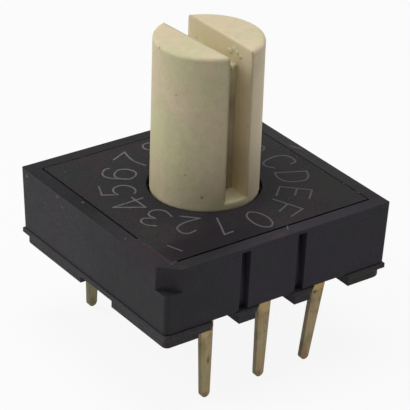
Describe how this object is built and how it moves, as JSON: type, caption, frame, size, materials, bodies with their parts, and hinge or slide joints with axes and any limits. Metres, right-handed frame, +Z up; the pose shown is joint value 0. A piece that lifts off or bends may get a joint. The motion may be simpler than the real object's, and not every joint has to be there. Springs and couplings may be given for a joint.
{
  "type": "rotary coded switch",
  "caption": "Square through-hole rotary coded switch for a circuit board, with a tall slotted and keyed shaft that clicks round a ring of hexadecimal positions.",
  "frame": {"origin": "on the shaft's axis in the plane of the case's feet, which is the board's face", "axes": "+Z up along the shaft, +X along the rows of leads, +Y from the row with lead 1 to the other row"},
  "size_m": [0.0102, 0.0098, 0.0126],
  "materials": {
    "case_plastic": "fine matt moulded black thermoplastic",
    "plate_plastic": "satin black plate with a light grey printed dial",
    "base_plastic": "matt moulded black thermoplastic",
    "shaft_plastic": "ivory moulded thermoplastic, slightly burred at the slot",
    "contact_metal": "gold-plated stamping",
    "seal_rubber": "black O-ring rubber",
    "spring_steel": "rolled spring steel",
    "lead_gold": "thin gold plating over copper alloy, slightly dull"
  },
  "bodies": {
    "body": {"housing": "case_plastic", "top_plate": "plate_plastic", "base": "base_plastic", "detent_spring_rear": "spring_steel", "detent_spring_front": "spring_steel", "terminal_1": "lead_gold", "terminal_2": "lead_gold", "terminal_4": "lead_gold", "terminal_8": "lead_gold", "terminal_c_front": "lead_gold", "terminal_c_rear": "lead_gold"},
    "dial": {"rotor": "shaft_plastic", "code_disc": "contact_metal", "o_ring": "seal_rubber"}
  },
  "joints": [
    {"name": "rotor_turn", "type": "hinge", "parent": "body", "child": "dial", "pos_m": [0, 0, 0.00314], "axis": [0, 0, 1], "continuous": true, "deforming": ["detent_spring_rear", "detent_spring_front"]}
  ]
}
